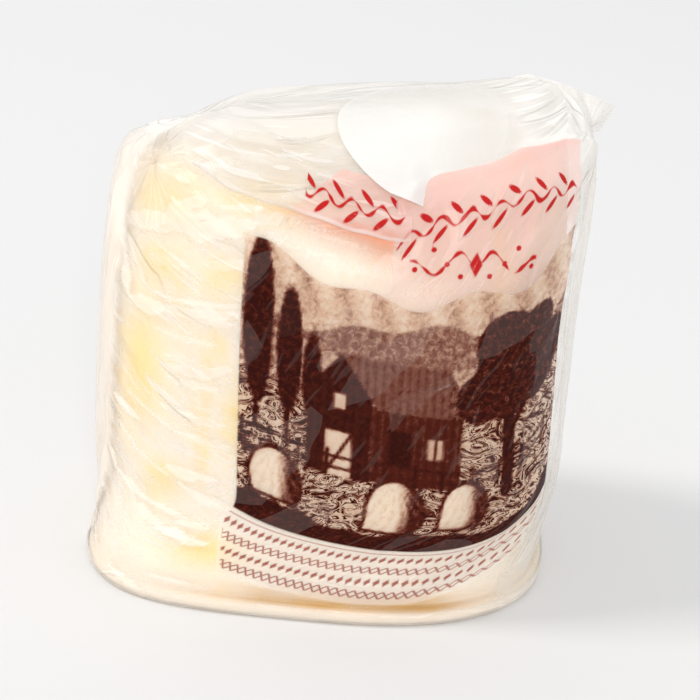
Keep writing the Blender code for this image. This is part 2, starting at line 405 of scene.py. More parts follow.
# ==== Film ================
# Clear polyolefin film shrunk round the block: taut on the front, slack and creased
# at the shoulders, the side margins and the top.  Its creases are straight and
# sharp, since film bends one way at a time.
CELL = 0.5  # mm between the points of the film
FILM_LENGTH = 175  # mm from the middle of the foot up the front
STAR = (-54.0, 87.0)  # where the left shoulder is gathered
NECK = (46.0, 98.0)  # where the right corner of the seam is gathered
FOOT_PINCH = (-66.0, 9.0)  # where the foot's left corner is gathered
FLAP_EDGE = ((-42.0, -27.6, -13.6, 0.0), (91.0, 88.8, 85.3, 82.6))
PRINT_LEFT, PRINT_WIDTH = -28.5, 66.0  # mm round the waist
MARGIN_EDGE = -61.5  # where the flat left margin begins
TAUT_RIGHT = 38.5  # where the taut front ends at the right
BACK_SPAN = (72.0, 190.0)  # the back, between the side margins
FLARE_TOP = 10.0  # mm up the film
WALL_EDGE = ((-7.0, -3.0, 6.4, 18.0, 22.0, 33.0, 43.0, 52.0),
             (84.0, 90.5, 96.0, 98.8, 100.5, 100.2, 97.0, 92.0))


def along_line(s, h, start, end):
    """Share of the way from start to end, 0 to 1, and the distance to the line's left."""
    length = math.dist(start, end)
    along_x, along_y = (end[0] - start[0]) / length, (end[1] - start[1]) / length
    q = np.clip(((s - start[0]) * along_x + (h - start[1]) * along_y) / length, 0, 1)
    return q, (h - start[1]) * along_x - (s - start[0]) * along_y


def crease(s, h, start, end, height, width, lean=1.0, bow=0.0):
    """A straight fold from start to end: a tent across the line, of the height at the
    line and 0 at the width on one side and at width * lean on the other, that swells
    from nothing at both ends.  bow bends the line to its left."""
    q, across = along_line(s, h, start, end)
    swell = 4 * q * (1 - q)
    across = across - bow * swell
    tent = 1 - np.abs(across) / np.where(across > 0, width, width * lean)
    return height * np.clip(tent, 0, 1) * np.sqrt(swell)


def lens(s, h, start, end, half_width, ragged):
    """1 inside a long lens from start to end, pointed at both ends, 0 outside it.  ragged,
    from -1 to 1 over the film, takes its edge in and lets it out."""
    q, across = along_line(s, h, start, end)
    edge = half_width * (4 * q * (1 - q)) ** 0.7 * (1 + 0.9 * ragged)
    return ease(0.45, -0.35, np.abs(across) - edge) * ease(0, 0.08, q * (1 - q))


def strewn(s, h, seed, count, area, way, spread, lengths, heights, widths):
    """Many folds strewn over an area (left, right, low, high), along about one way."""
    random = np.random.default_rng(seed)
    total = np.zeros_like(s)
    for _ in range(count):
        x, y = random.uniform(*area[:2]), random.uniform(*area[2:])
        turn = math.radians(random.normal(way, spread))
        reach = random.uniform(*lengths) / 2
        step = (math.cos(turn) * reach, math.sin(turn) * reach)
        total += crease(s, h, (x - step[0], y - step[1]), (x + step[0], y + step[1]),
                        random.uniform(*heights) * random.choice((-1, 1)),
                        random.uniform(*widths), random.uniform(0.4, 2.5),
                        random.normal(0, reach * 0.06))
    return total


def gathered(s, h, seed, middle, ways, count, lengths, heights, widths):
    """Folds that radiate from a gathered point, between two bearings."""
    random = np.random.default_rng(seed)
    total = np.zeros_like(s)
    for way in np.linspace(*ways, count):
        turn = math.radians(way + random.normal(0, 4))
        reach = random.uniform(*lengths)
        start = (middle[0] + math.cos(turn), middle[1] + math.sin(turn))
        end = (middle[0] + math.cos(turn) * reach, middle[1] + math.sin(turn) * reach)
        total += crease(s, h, start, end, random.uniform(*heights),
                        random.uniform(*widths), random.uniform(0.3, 1.2),
                        random.normal(0, 0.5))
    return total


def crumpled(s, h, seed, area, facets, way, stretch, height):
    """Flat facets that meet in straight sharp folds: random points with random heights,
    joined into triangles and each laid as a plane.  way is the bearing along which the
    facets are stretched.  The crumple fades towards the sides of its area."""
    random = np.random.default_rng(seed)
    turn = math.radians(way)
    left, right, low, high = area
    bounds = np.array([[left, low], [right, low], [right, high], [left, high]], float)
    turned = np.array([[math.cos(turn), math.sin(turn)], [-math.sin(turn), math.cos(turn)]])
    squeeze = np.array([1 / stretch, 1.0])
    corners = (bounds @ turned.T) * squeeze
    spots = random.uniform(corners.min(0) - 1, corners.max(0) + 1, (facets // 2, 2))
    knots, _, faces, *_ = delaunay_2d_cdt([Vector(spot) for spot in spots], [], [], 0, 1e-6)
    knots = np.array([tuple(knot) for knot in knots])
    knot_height = random.uniform(-height, height, len(knots))
    fade = (ease(left, left + 6, s) * ease(right, right - 6, s)
            * ease(low, low + 5, h) * ease(high, high - 5, h))
    rows, columns = np.nonzero(fade > 0)
    place = np.stack([s[rows, columns], h[rows, columns]], -1) @ turned.T * squeeze
    laid = np.zeros(len(place))
    for face in faces:
        a, b, c = knots[face]
        edges = np.array([b - a, c - a]).T
        if abs(np.linalg.det(edges)) < 1e-9:
            continue
        weight = (place - a) @ np.linalg.inv(edges).T
        inside = (weight.min(1) >= -1e-9) & (weight.sum(1) <= 1 + 1e-9)
        za, zb, zc = knot_height[face]
        laid[inside] = za + weight[inside] @ (zb - za, zc - za)
    total = np.zeros_like(s)
    total[rows, columns] = laid
    return total * fade


# The folds that leave the left margin and run down to the print, where the film stands
# off the cheese: each is a raised crease, and a lens of white milk along it is its
# painted highlight.  mm from and to, half width, and how milky each is.
BRIGHT_FOLDS = tuple(((x1, y1), (x2, y2), width, milk) for x1, y1, x2, y2, width, milk in (
    (-63, 72, -50, 78.8, 1.7, 0.5), (-57, 74, -36, 84, 2.6, 0.5), (-48, 80, -38, 86.5, 1.6, 0.45),
    (-46, 78.4, -27, 84.5, 2.8, 0.5), (-36, 85.5, -27, 87.4, 0.9, 0.45),
    (-27, 83, -12, 79.5, 1.6, 0.3), (-63, 71, -54.5, 60, 1.7, 0.55),
    (-56, 60, -44.5, 63, 1.9, 0.55), (-46.5, 62.5, -29, 67.3, 1.5, 0.5),
    (-59.6, 71.7, -50.6, 63.8, 0.7, 0.45), (-51, 63.8, -42, 65.5, 0.8, 0.4),
    (-44, 65.2, -29, 68.6, 0.9, 0.5), (-42, 63, -29.5, 65, 0.8, 0.4),
    (-48.6, 57.9, -33, 60, 0.9, 0.4), (-45.6, 53.6, -37, 55.6, 1.1, 0.4),
    (-47, 51, -29, 56.4, 1.7, 0.4), (-45, 49.6, -32, 51.3, 1.1, 0.45),
    (-60, 38.6, -50, 37.2, 1.1, 0.65), (-55, 41.8, -39, 39.2, 0.6, 0.5),
    (-46, 43.4, -30, 44.4, 1.1, 0.45), (-41.5, 39.8, -29, 40, 1.1, 0.45),
    (-58.6, 34, -51, 31.5, 0.6, 0.5), (-44, 31.3, -31.5, 32.6, 1.4, 0.6),
    (-53, 31.2, -42, 29.7, 0.7, 0.45), (-62, 28.6, -56.5, 23, 1.0, 0.6),
    (-58, 23.5, -46.5, 22.2, 0.9, 0.6), (-50, 22.3, -35, 22.8, 0.9, 0.6),
    (-38, 22.9, -27.5, 21.2, 1.3, 0.6), (-41, 29.4, -27.5, 26.8, 1.0, 0.4),
    (-47, 20.4, -35, 18.2, 1.6, 0.65), (-39, 18.6, -24, 16.9, 1.6, 0.7),
    (-30, 6.3, -16, 5.6, 0.8, 0.65), (-42, 5.4, -28, 2.7, 0.9, 0.7),
    (-60, 9.5, -48, 6.0, 0.9, 0.55), (-54, 87, -42, 87.6, 0.9, 0.55),
    (-71, 83, -65, 87.5, 1.1, 0.6), (-62, 88, -52, 90, 1.2, 0.5), (-50, 47, -40, 45, 1.0, 0.35),
    (-38, 74, -28, 77, 1.3, 0.35), (-52, 70, -40, 73, 1.5, 0.35),
))
GATHERS = (  # seed, middle, bearings, folds, lengths, heights, widths
    (11, STAR, (-32, 60), 5, (14, 30), (0.3, 0.7), (2.5, 4.5)),
    (12, STAR, (95, 250), 6, (8, 20), (0.2, 0.45), (1.5, 3.0)),
    (13, NECK, (110, 215), 5, (16, 46), (0.25, 0.6), (3.5, 7.0)),
    (14, NECK, (235, 320), 6, (12, 40), (0.4, 0.8), (1.4, 3.0)),
    (15, FOOT_PINCH, (-12, 75), 8, (14, 50), (0.15, 0.4), (1.6, 4.0)),
)
CRUMPLES = (  # seed, area, facets, bearing, stretch, height
    (41, (-66, -24, 10, 92), 60, -16, 3.0, 0.6), (42, (-84, -60, 6, 96), 30, 84, 3.4, 0.35),
    (43, (-60, 48, 88, 122), 60, 8, 3.6, 1.0), (44, (-30, 46, 8, 96), 110, 62, 1.6, 0.35),
    (45, (38, 72, 6, 98), 40, 86, 3.4, 0.4),
    # the back is shrunk in the same way
    (47, (66, 204, 6, 96), 200, -12, 2.6, 0.7), (48, (60, 206, 88, 126), 80, 6, 3.4, 0.9),
)


def film_relief(s, h):
    """Height in mm of the film's folds over its taut form, at s mm round the waist
    from the middle of the front and h mm up the film."""
    relief = np.zeros_like(s)
    for row in GATHERS:
        relief += gathered(s, h, *row)
    # the front wall's own edge stands proud of the top, and under the flap it is drawn in
    past = h - np.interp(s, *WALL_EDGE)
    wall = np.where(past > 0, np.clip(1 - past / 1.6, 0, 1), np.clip(1 + past / 26, 0, 1))
    relief += 1.5 * wall * ease(-7, 0, s) * ease(52, 45, s)
    past = h - np.interp(s, *FLAP_EDGE)
    relief -= (0.6 * np.clip(1 - np.abs(past + 2.5) / 5, 0, 1) * ease(-36, -20, s)
               * ease(3, -2, s))
    for start, end, width, milk in BRIGHT_FOLDS:
        relief += crease(s, h, start, end, 0.5 * milk, width + 0.6, 1.6)
    for row in CRUMPLES:
        relief += crumpled(s, h, *row)
    return relief + strewn(s, h, 28, 50, (-80, 200, 5, 11), 2, 6, (8, 22), (0.1, 0.35), (1.0, 2.4))


def fold_ways(s, h):
    """Millimetres along and across the local run of the fine crinkles: they radiate from
    the gathered points, stand upright at the side margins, lie flat along the foot and
    the top, and cross the front at a slant.  The values are for the four corners of
    each face, which share one run, so that two runs meet in a crisp fold."""
    def corners(field):
        return np.stack([field[:-1, :-1], field[:-1, 1:], field[1:, 1:], field[1:, :-1]], -1)

    def turned(way, reach=1.0):
        turn = math.radians(way)
        return np.stack([(corner_s * math.cos(turn) + corner_h * math.sin(turn)) * reach,
                         corner_h * math.cos(turn) - corner_s * math.sin(turn)], -1)

    def radiating(middle, spread):
        """Polar places, with the bearings of a face kept on one side of the cut."""
        off_s, off_h = corner_s - middle[0], corner_h - middle[1]
        mean = np.arctan2(off_h.mean(-1), off_s.mean(-1))[..., None]
        turn = mean + (np.arctan2(off_h, off_s) - mean + np.pi) % (2 * np.pi) - np.pi
        return np.stack([np.hypot(off_s, off_h), spread * turn], -1)

    corner_s, corner_h = corners(s), corners(h)
    s, h = corner_s.mean(-1), corner_h.mean(-1)
    near_star = np.hypot(s - STAR[0], h - STAR[1]) < 9 + 3 * np.sin(s / 3) + 2 * np.sin(h / 2)
    near_neck = np.hypot(s - NECK[0], h - NECK[1]) < 15 + 4 * np.sin(s / 3)
    on_top = h > np.where(s < 0, np.interp(s, *FLAP_EDGE), np.interp(s, *WALL_EDGE)) - 1
    margin = (s < MARGIN_EDGE) | (s > TAUT_RIGHT) & (s < BACK_SPAN[0]) | (s > BACK_SPAN[1])
    picked = np.select([h < FLARE_TOP, near_star, near_neck, on_top, margin, s < PRINT_LEFT,
                        s > BACK_SPAN[0]], [0, 1, 2, 3, 4, 5, 6], 7)[..., None, None]
    return np.select([picked == k for k in range(8)],
                     [turned(1), radiating(STAR, 13), radiating(NECK, 10), turned(7, 0.55),
                      turned(86), turned(-15), turned(-10, 1.4), turned(58, 1.3)])


waist_angle = np.linspace(-np.pi, np.pi, 7201)
waist = np.stack(squared_oval(waist_angle, *BAG["waist"]), -1)
waist_arc = np.append(0, np.cumsum(np.linalg.norm(np.diff(waist, axis=0), axis=1)))
waist_arc -= np.interp(-np.pi / 2, waist_angle, waist_arc)
left_arc, right_arc, end_arc = (np.interp(a, waist_angle, waist_arc) for a in (-np.pi, 0, np.pi))
front_columns = round((right_arc - left_arc) / CELL)
back_columns = round((end_arc - right_arc) / CELL)
column_arc = np.concatenate([np.linspace(left_arc, right_arc, front_columns + 1)[:-1],
                             np.linspace(right_arc, end_arc, back_columns + 1)[:-1]])
film_angle = np.interp(column_arc, waist_arc, waist_angle)[None, :]
film_level = even_levels(BAG, round(FILM_LENGTH / CELL))
film_level = np.append(np.linspace(0, LIP_START, 5)[:-1], film_level[film_level >= LIP_START])
taut = bag_form(film_angle, film_level[:, None] + 0 * film_angle, BAG)
base_row = int(np.searchsorted(film_level, LIP_START))
steps = np.linalg.norm(np.diff(taut, axis=0), axis=2)
film_h = np.concatenate([np.zeros((1, taut.shape[1])), np.cumsum(steps, axis=0)])
film_h -= film_h[base_row]
film_s = column_arc[None, :] + 0 * film_h
wrapped = np.concatenate([taut[:, -2:], taut, taut[:, :2]], 1)
film_normal = outward(wrapped)[:, 2:-2]
slack = ease(4.5, 9.0, film_h) * ease(1.0, 0.985, film_level)[:, None]
relief = film_relief(film_s, film_h)

# the film lies flatter under the round label
LABEL_PLACE = (13.0, -13.6)  # mm
LABEL_RADIUS = 17.2
LABEL_TILT = math.radians(34)
label_out = np.array((0.0, -math.sin(LABEL_TILT), math.cos(LABEL_TILT)))
label_up = np.array((0.0, math.cos(LABEL_TILT), math.sin(LABEL_TILT)))
label_right = np.array((1.0, 0.0, 0.0))
# the point of the film at that place on the top, not on the foot below it
nearest = np.argmin(np.hypot(taut[..., 0] - LABEL_PLACE[0], taut[..., 1] - LABEL_PLACE[1])
                    + 1000 * (taut[..., 2] < 70))
from_label = taut - taut.reshape(-1, 3)[nearest]
label_x, label_y = from_label @ label_right, from_label @ label_up
under_label = (ease(LABEL_RADIUS + 1.5, LABEL_RADIUS - 1.0, np.hypot(label_x, label_y))
               * (from_label @ label_out > -15))
above_wall = ease(-2.0, 1.5, film_h - np.interp(film_s, *WALL_EDGE))
relief *= slack * (1 - 0.8 * under_label * above_wall)
film_points = taut + film_normal * relief[..., None]

# The print on the front: brown ink for a farm scene, a pink wash above it, a red vine.
PICTURE_TOP = 51.6
INK_STOPS = ((0.0, "2e0500"), (0.20, "4c180a"), (0.45, "7f5143"), (0.70, "cda488"),
             (1.0, "f4ddc5"))


def disc(at, x, y, radius, squash=1.0):
    """Distance outside a round shape of the radius, its height the radius * squash."""
    return np.hypot(at[0] - x, (at[1] - y) / squash) - radius


def slab(at, left, right, low, high):
    """Distance outside an upright rectangle."""
    return np.maximum(np.abs(at[0] - (left + right) / 2) - (right - left) / 2,
                      np.abs(at[1] - (low + high) / 2) - (high - low) / 2)


def bar(at, start, end, half_width):
    """Distance outside a round-ended bar from start to end."""
    q = along_line(*at, start, end)[0]
    return np.hypot(*(at[k] - start[k] - q * (end[k] - start[k]) for k in (0, 1))) - half_width


def above_line(at, start, end):
    """Distance above the line through start and end."""
    return along_line(*at, start, end)[1]


LEAF_PITCH = 5.6  # mm along the vine
FLOURISH = (14.2, 79.0)  # mm, its middle


def print_layers(s, h, vine_line, vine_span, pink):
    """The design as distances and tones at s, h on the film.  vine_line is the height of
    the vine at each s, vine_span its ends, and pink is the distance outside the pink
    wash.  A leaf is left out whole where its middle is past an end of the vine."""
    print_x = s - PRINT_LEFT + 0.035 * (h - 50)
    print_y = h - 20.2 - 8 * np.where(s < 14, ((14 - s) / 42) ** 2,
                                      (np.clip(s - 15, 0, 40) / 21) ** 2.5)
    at = (print_x, print_y)
    skyline = (PICTURE_TOP + 1.6 * np.sin(print_x / 7.5 + 1) + 1.2 * np.sin(print_x / 3.1)
               + 2.0 * ease(56, 66, print_x))
    near_hill = 44 + 2.5 * np.sin(print_x / 10 + 4) + 0.8 * np.sin(print_x / 2.7)
    sky = 0.72 + 0.12 * np.sin(print_x * 0.9 + 0.25 * print_y) * ease(40, 50, print_y)
    canvas = {"tone": sky, "leafy": 0.20 + 0 * sky, "straw": ease(36, 24, print_y)}

    def paint(shape, **tones):
        """Lay each tone over the layer of that name, inside the shape."""
        share = ease(0.3, -0.3, shape)
        for layer, tone in tones.items():
            canvas[layer] = canvas[layer] * (1 - share) + tone * share

    paint(print_y - near_hill, tone=0.46)
    paint(print_y - 38 - 1.5 * np.sin(print_x / 6), tone=0.60)
    for x, tall, wide in ((3.4, 15.5, 2.9), (9.6, 12.0, 2.4), (14.0, 8.5, 1.7)):
        poplar = np.minimum(disc(at, x, 24 + tall, wide, tall / wide),
                            bar(at, (x, 19), (x, 28), 0.45))
        paint(poplar, tone=0.03, straw=0)
        paint(poplar - 0.8, leafy=0.26)
    gable = np.maximum.reduce([slab(at, 13.5, 25.5, 14.5, 60),
                               above_line(at, (13.5, 31), (19.5, 38.6)),
                               above_line(at, (19.5, 38.6), (25.5, 31))])
    roof = np.maximum.reduce([slab(at, 19, 45, 29.4, 38.9),
                              above_line(at, (26.6, 29.5), (19.3, 38.9)),
                              above_line(at, (40, 38.9), (44.5, 29))])
    boards = 0.06 * np.sin(print_x * 2 * np.pi / 1.6)
    for shape, tone in ((slab(at, 25.5, 43, 15, 30), 0.17 + boards),
                        (roof, 0.33 - boards), (gable, 0.06 + 0.5 * boards),
                        (slab(at, 17, 22, 14.5, 23.5), 0.86),
                        (bar(at, (17, 14.5), (22, 23.5), 0.3), 0.1),
                        (slab(at, 18.4, 20.6, 28, 31), 0.80),
                        (slab(at, 29, 33.5, 19, 26), 0.02),
                        (slab(at, 36.5, 39.5, 21, 25), 0.72),
                        (slab(at, 37.8, 38.2, 21, 25), 0.1)):
        paint(shape, tone=tone, straw=0, leafy=0.10)
    crown = np.min([disc(at, *ball) for ball in (
        (53, 36, 8.5), (46.5, 33, 5.0), (60, 34, 6.5), (51, 43, 6.0), (57.5, 42, 5.0))], axis=0)
    trunk = np.minimum(bar(at, (53.5, 12), (52.5, 32), 1.3), bar(at, (53, 24), (59, 33), 0.7))
    paint(trunk, tone=0.04, straw=0)
    paint(crown, tone=0.08, straw=0)
    paint(crown - 1.2, leafy=0.34)
    for x in np.arange(0.5, 66, 5.6):
        paint(bar(at, (x, 14.5), (x + 0.3, 19.5), 0.35), tone=0.05)
    for y in (16.4, 18.6):
        paint(np.abs(print_y - y - 0.3 * np.sin(print_x / 4)) - 0.28, tone=0.08)
    for x, y, size in ((31, 8.5, 5.4), (44.5, 10.0, 4.4), (7.5, 9.5, 4.8)):
        stack = np.maximum(disc(at, x, y, size, 1.3), y - 3.5 - print_y)
        thatch = 0.10 * np.sin(27 * np.arctan2(print_x - x, 1.5 * size + y - print_y))
        paint(stack - 0.7, tone=0.12, straw=0)
        paint(stack, tone=0.98 + thatch - 0.8 * ease(x, x + size * 0.7, print_x))
    ground = print_y - 4.2 - 0.8 * np.sin(print_x / 5) - 0.4 * np.sin(print_x / 1.7)
    paint(ground, tone=0.06, straw=0.22)

    sides = slab(at, 0, PRINT_WIDTH + 2.0 * ease(30, 60, print_y), 0, 200)
    vine_y = h - vine_line
    leaves = []
    for way, first in ((1, 1.3), (-1, -1.5)):
        leaf_x = (s - first) % LEAF_PITCH - LEAF_PITCH / 2
        leaf = disc((leaf_x + 0.8 * vine_y * way, vine_y), 1.68, 2.1 * way, 0.66, 2.2)
        middle = s - leaf_x
        leaves.append(np.where((middle > vine_span[0]) & (middle < vine_span[1]), leaf, 9.0))
    flourish_x, flourish_y = np.abs(s - FLOURISH[0]), h - FLOURISH[1]
    scroll = 2.3 * np.sin(flourish_x / 1.75) * ease(0, 3, flourish_x)
    lozenge = 0.7 * (flourish_x / 1.3 + np.abs(flourish_y) / 2.4 - 1)
    berries = [disc((flourish_x, flourish_y), x, y, 0.55) for x, y in (
        (2.8, -2.2), (8.2, 2.6), (5.5, 0.0), (11.5, -1.2))]
    return {
        **canvas,
        "picture": np.maximum(sides, print_y - skyline),
        "wash": np.maximum.reduce([sides, skyline - print_y, pink]),
        "vine": vine_y - 1.1 * np.sin(2 * np.pi * s / LEAF_PITCH),
        "vine_reach": np.maximum.reduce([vine_span[0] - s, s - vine_span[1],
                                         np.abs(vine_y) - 4.4]),
        "flourish": flourish_y - scroll * ease(15, 6, flourish_x),
        "flourish_reach": np.maximum(flourish_x - 12.5, np.abs(flourish_y) - 4),
        "leaves": np.min([*leaves, lozenge, *berries], axis=0),
        "border": np.maximum.reduce([
            print_x - PRINT_WIDTH + 1, np.abs(print_y + 7.5) - 6.5,
            PRINT_LEFT + 0.5 + 0.75 * np.clip(25 - h, 0, 30) - s]),
        "below_picture": print_y,
    }


wall_top = np.interp(film_s, *WALL_EDGE)
layers = print_layers(film_s, film_h, wall_top - 9.5, (-1.0, 36.0),
                      np.maximum(film_h - wall_top, -1.5 - film_s))

# Where the film is slack, hazy and warm.  off_edge is s, going on past the cut at the back.
film_uv = np.stack([film_s, film_h], -1)
BACK_HALF = 130  # mm round the waist, where the left end begins
off_edge = np.where(film_s > BACK_HALF, film_s - (end_arc - left_arc), film_s)
off_star = np.exp(-((off_edge - STAR[0]) ** 2 + (film_h - STAR[1]) ** 2) / 15 ** 2)
left_end = ease(-106, -92, off_edge)
left_margin = ease(-57.5, -62, off_edge) * left_end
left_shoulder = ease(-54, -62, off_edge) * ease(64, 78, film_h) * left_end
right_margin = ease(39, 47, film_s) * ease(80, 62, film_s)
right_foot_painted_lift = ease(34, 44, film_s) * ease(80, 62, film_s) * ease(24, 10, film_h)
right_top = ease(14, 26, film_s) * ease(80, 60, film_s) * ease(-1, 2, film_h - wall_top)
lip = ease(4.0, 3.0, film_h)
ragged = waves(film_uv * (0.55, 1.0), 5.0, 22)
# painted highlights: a lens of white milk along each of these folds, warm over the cheese
fold_highlight_milk = np.max([lens(film_s, film_h, start, end, 0.8 * width, ragged) * milk
                 for start, end, width, milk in BRIGHT_FOLDS], axis=0)
layers["slack"] = (
    np.select([(film_s > PRINT_LEFT) & (film_s < TAUT_RIGHT) & (film_h < wall_top),
               film_h < FLARE_TOP, film_h > 92, off_edge < PRINT_LEFT],
              [0.26, 0.5, 0.55, 0.62], 1.0)
    * (1 - 0.85 * under_label) * (1 - 0.6 * off_star) * (1 - 0.5 * left_margin)
    * (1 - 0.8 * right_margin))
# Part of this haze is painted light as well as the film's own milkiness: extra milk lifts the shade
# on the rolled lip, on the right end of the foot, on both side margins and round the gathered star.
layers["haze"] = (0.04 + 0.50 * ease(87, 99, film_h) + 0.12 * np.abs(relief).clip(0, 1)
                  + 0.62 * left_margin * (1 - 0.5 * ease(70, 84, film_h))
                  + 0.25 * off_star + 0.42 * right_margin * ease(4, 24, film_h)
                  + 0.20 * left_shoulder + 0.22 * right_top + 0.45 * lip + 0.25 * right_foot_painted_lift)
layers["haze"] = np.maximum(layers["haze"], fold_highlight_milk).clip(0, 0.95)
# the warmth on the lip is painted light that lifts the shade on its underside, and the warm fold
# streaks are painted highlights
layers["warmth"] = np.max([left_margin * ease(92, 76, film_h), 0.7 * off_star,
                           1.5 * fold_highlight_milk, 0.8 * lip], axis=0).clip(0, 1)
# painted shade under the flap: a peach tint, deepest just below its edge and fading down the wall,
# for the flap's shadow on the doubled pink film
under_flap = np.interp(film_s, *FLAP_EDGE) - film_h
layers["peach"] = (np.exp(-np.clip(under_flap, 0, 50) / (2.2 + 1.5 * ease(-8, -3, film_s)))
                   * ease(-30, -4, film_s) * (film_s < -1.5) * ease(-2, -1, under_flap))


CRINKLE = (15.0, 5.0)  # mm along and across one flat of the crinkled film
CRINKLE_TILT = 2.0  # mm a whole flat may rise across
LOOSE = (17.0, 5.5)  # mm along and across the parts that stand off
LOOSE_MILK = 0.34
# the glints are painted highlights: narrow streaks of white milk in the film's haze
GLINT = (13.0, 1.5)  # mm along and across the narrow pinched streaks
GLINT_MILK = 0.50
VEIL = 0.032  # milk of the flats that stand off the picture
GLINT_VEIL = 0.04  # share of a glint's milk that lies over the picture
SHINE = (0.007, 0.5)  # mirroring, seen square on and at a grazing look
CLEAR_LAYERS = ("haze", "slack", "warmth")


def crinkles(tree, slack):
    """The normal of film crinkled into small flats with sharp folds between them, its haze,
    the thin veil that some of the flats lay over the picture, and a number from 0 to 1
    for each flat.  A flat is a cell, longer along the folds, with a tilt of its own."""
    def vector_math(kind, a, b, output=0):
        return add_node(tree, "VectorMath", {0: a, 1: b}, output, operation=kind)

    def in_cells(size):
        """Places on the wandering folds, counted in cells of the size."""
        return add_node(tree, "Mapping", {"Vector": warped, "Scale": (*size, 1.0)},
                        vector_type="TEXTURE")

    def cell_node(output, **settings):
        return add_node(tree, "TexVoronoi", {"Vector": placed, "Scale": 1.0}, output,
                        voronoi_dimensions="2D", **settings)

    half = (0.5, 0.5, 0.5)
    folds = add_node(tree, "UVMap", uv_map="fold_mm")
    wander = vector_math("SUBTRACT", folds.noise(0.06, 1.0).also("Color"), half)
    warped = vector_math("ADD", folds, vector_math("MULTIPLY", wander, (9.0, 7.0, 0.0)))
    placed = in_cells(CRINKLE)
    cells = cell_node("Color")
    rounded = cell_node("Distance", feature="DISTANCE_TO_EDGE").over(
        0.0, 0.16, interpolation_type="SMOOTHSTEP")
    off_middle = vector_math("SUBTRACT", placed, cells.also("Position"))
    tilt = vector_math("SUBTRACT", cells, half)
    rise = vector_math("DOT_PRODUCT", off_middle, tilt, "Value") * (rounded * slack)
    stood_off = in_cells(LOOSE).noise(1.0, 2.5, 0.55, noise_dimensions="2D").over(
        0.44, 0.60, 0.0, LOOSE_MILK)
    # painted glints: narrow streaks of white milk standing in for highlights
    glint = in_cells(GLINT).noise(1.0, 1.2, 0.4, noise_dimensions="2D").over(
        0.635, 0.70, 0.0, GLINT_MILK)
    own = add_node(tree, "SeparateXYZ", {0: cells}, 1)
    veil = own.over(0.62, 0.66, 0.0, VEIL).math("MAXIMUM", glint * GLINT_VEIL)
    return (rise.bump(1.0, CRINKLE_TILT * MM), slack * glint.math("MAXIMUM", stood_off), veil,
            own)


def film_material(name, printed):
    """Clear film: glass-like shine, strongest at a grazing look, and a milky haze where
    it is slack.  With printed, inks lie on its inner side, under the shine."""
    tree, film = new_material(name)
    value = {layer: attribute(tree, layer) for layer in (layers if printed else CLEAR_LAYERS)}
    fine, flat_milk, veil, flat = crinkles(tree, value["slack"])
    see_through = add_node(tree, "BsdfTransparent", {"Color": (0.995, 0.99, 0.98, 1.0)})
    milk = add_node(tree, "BsdfPrincipled", {
        "Base Color": value["warmth"].between(linear("f3f0ec"), linear("fff4e6")),
        "Roughness": 0.5, "Specular IOR Level": 0.2, "Normal": fine})
    under = value["haze"].math("ADD", flat_milk, use_clamp=True).blend(see_through, milk)
    if printed:
        under, picture = printed_inks(tree, value, flat, under)
        under = (veil * picture).blend(under, milk)
    sheen = add_node(tree, "BsdfGlossy", {"Color": (1, 1, 1, 1), "Roughness": 0.09,
                                          "Normal": fine})
    facing = add_node(tree, "LayerWeight", {"Blend": 0.5, "Normal": fine}, "Facing")
    coat = facing.math("POWER", 4.0).over(0.0, 1.0, *SHINE).blend(under, sheen)
    add_node(tree, "OutputMaterial", {"Surface": coat})
    return film


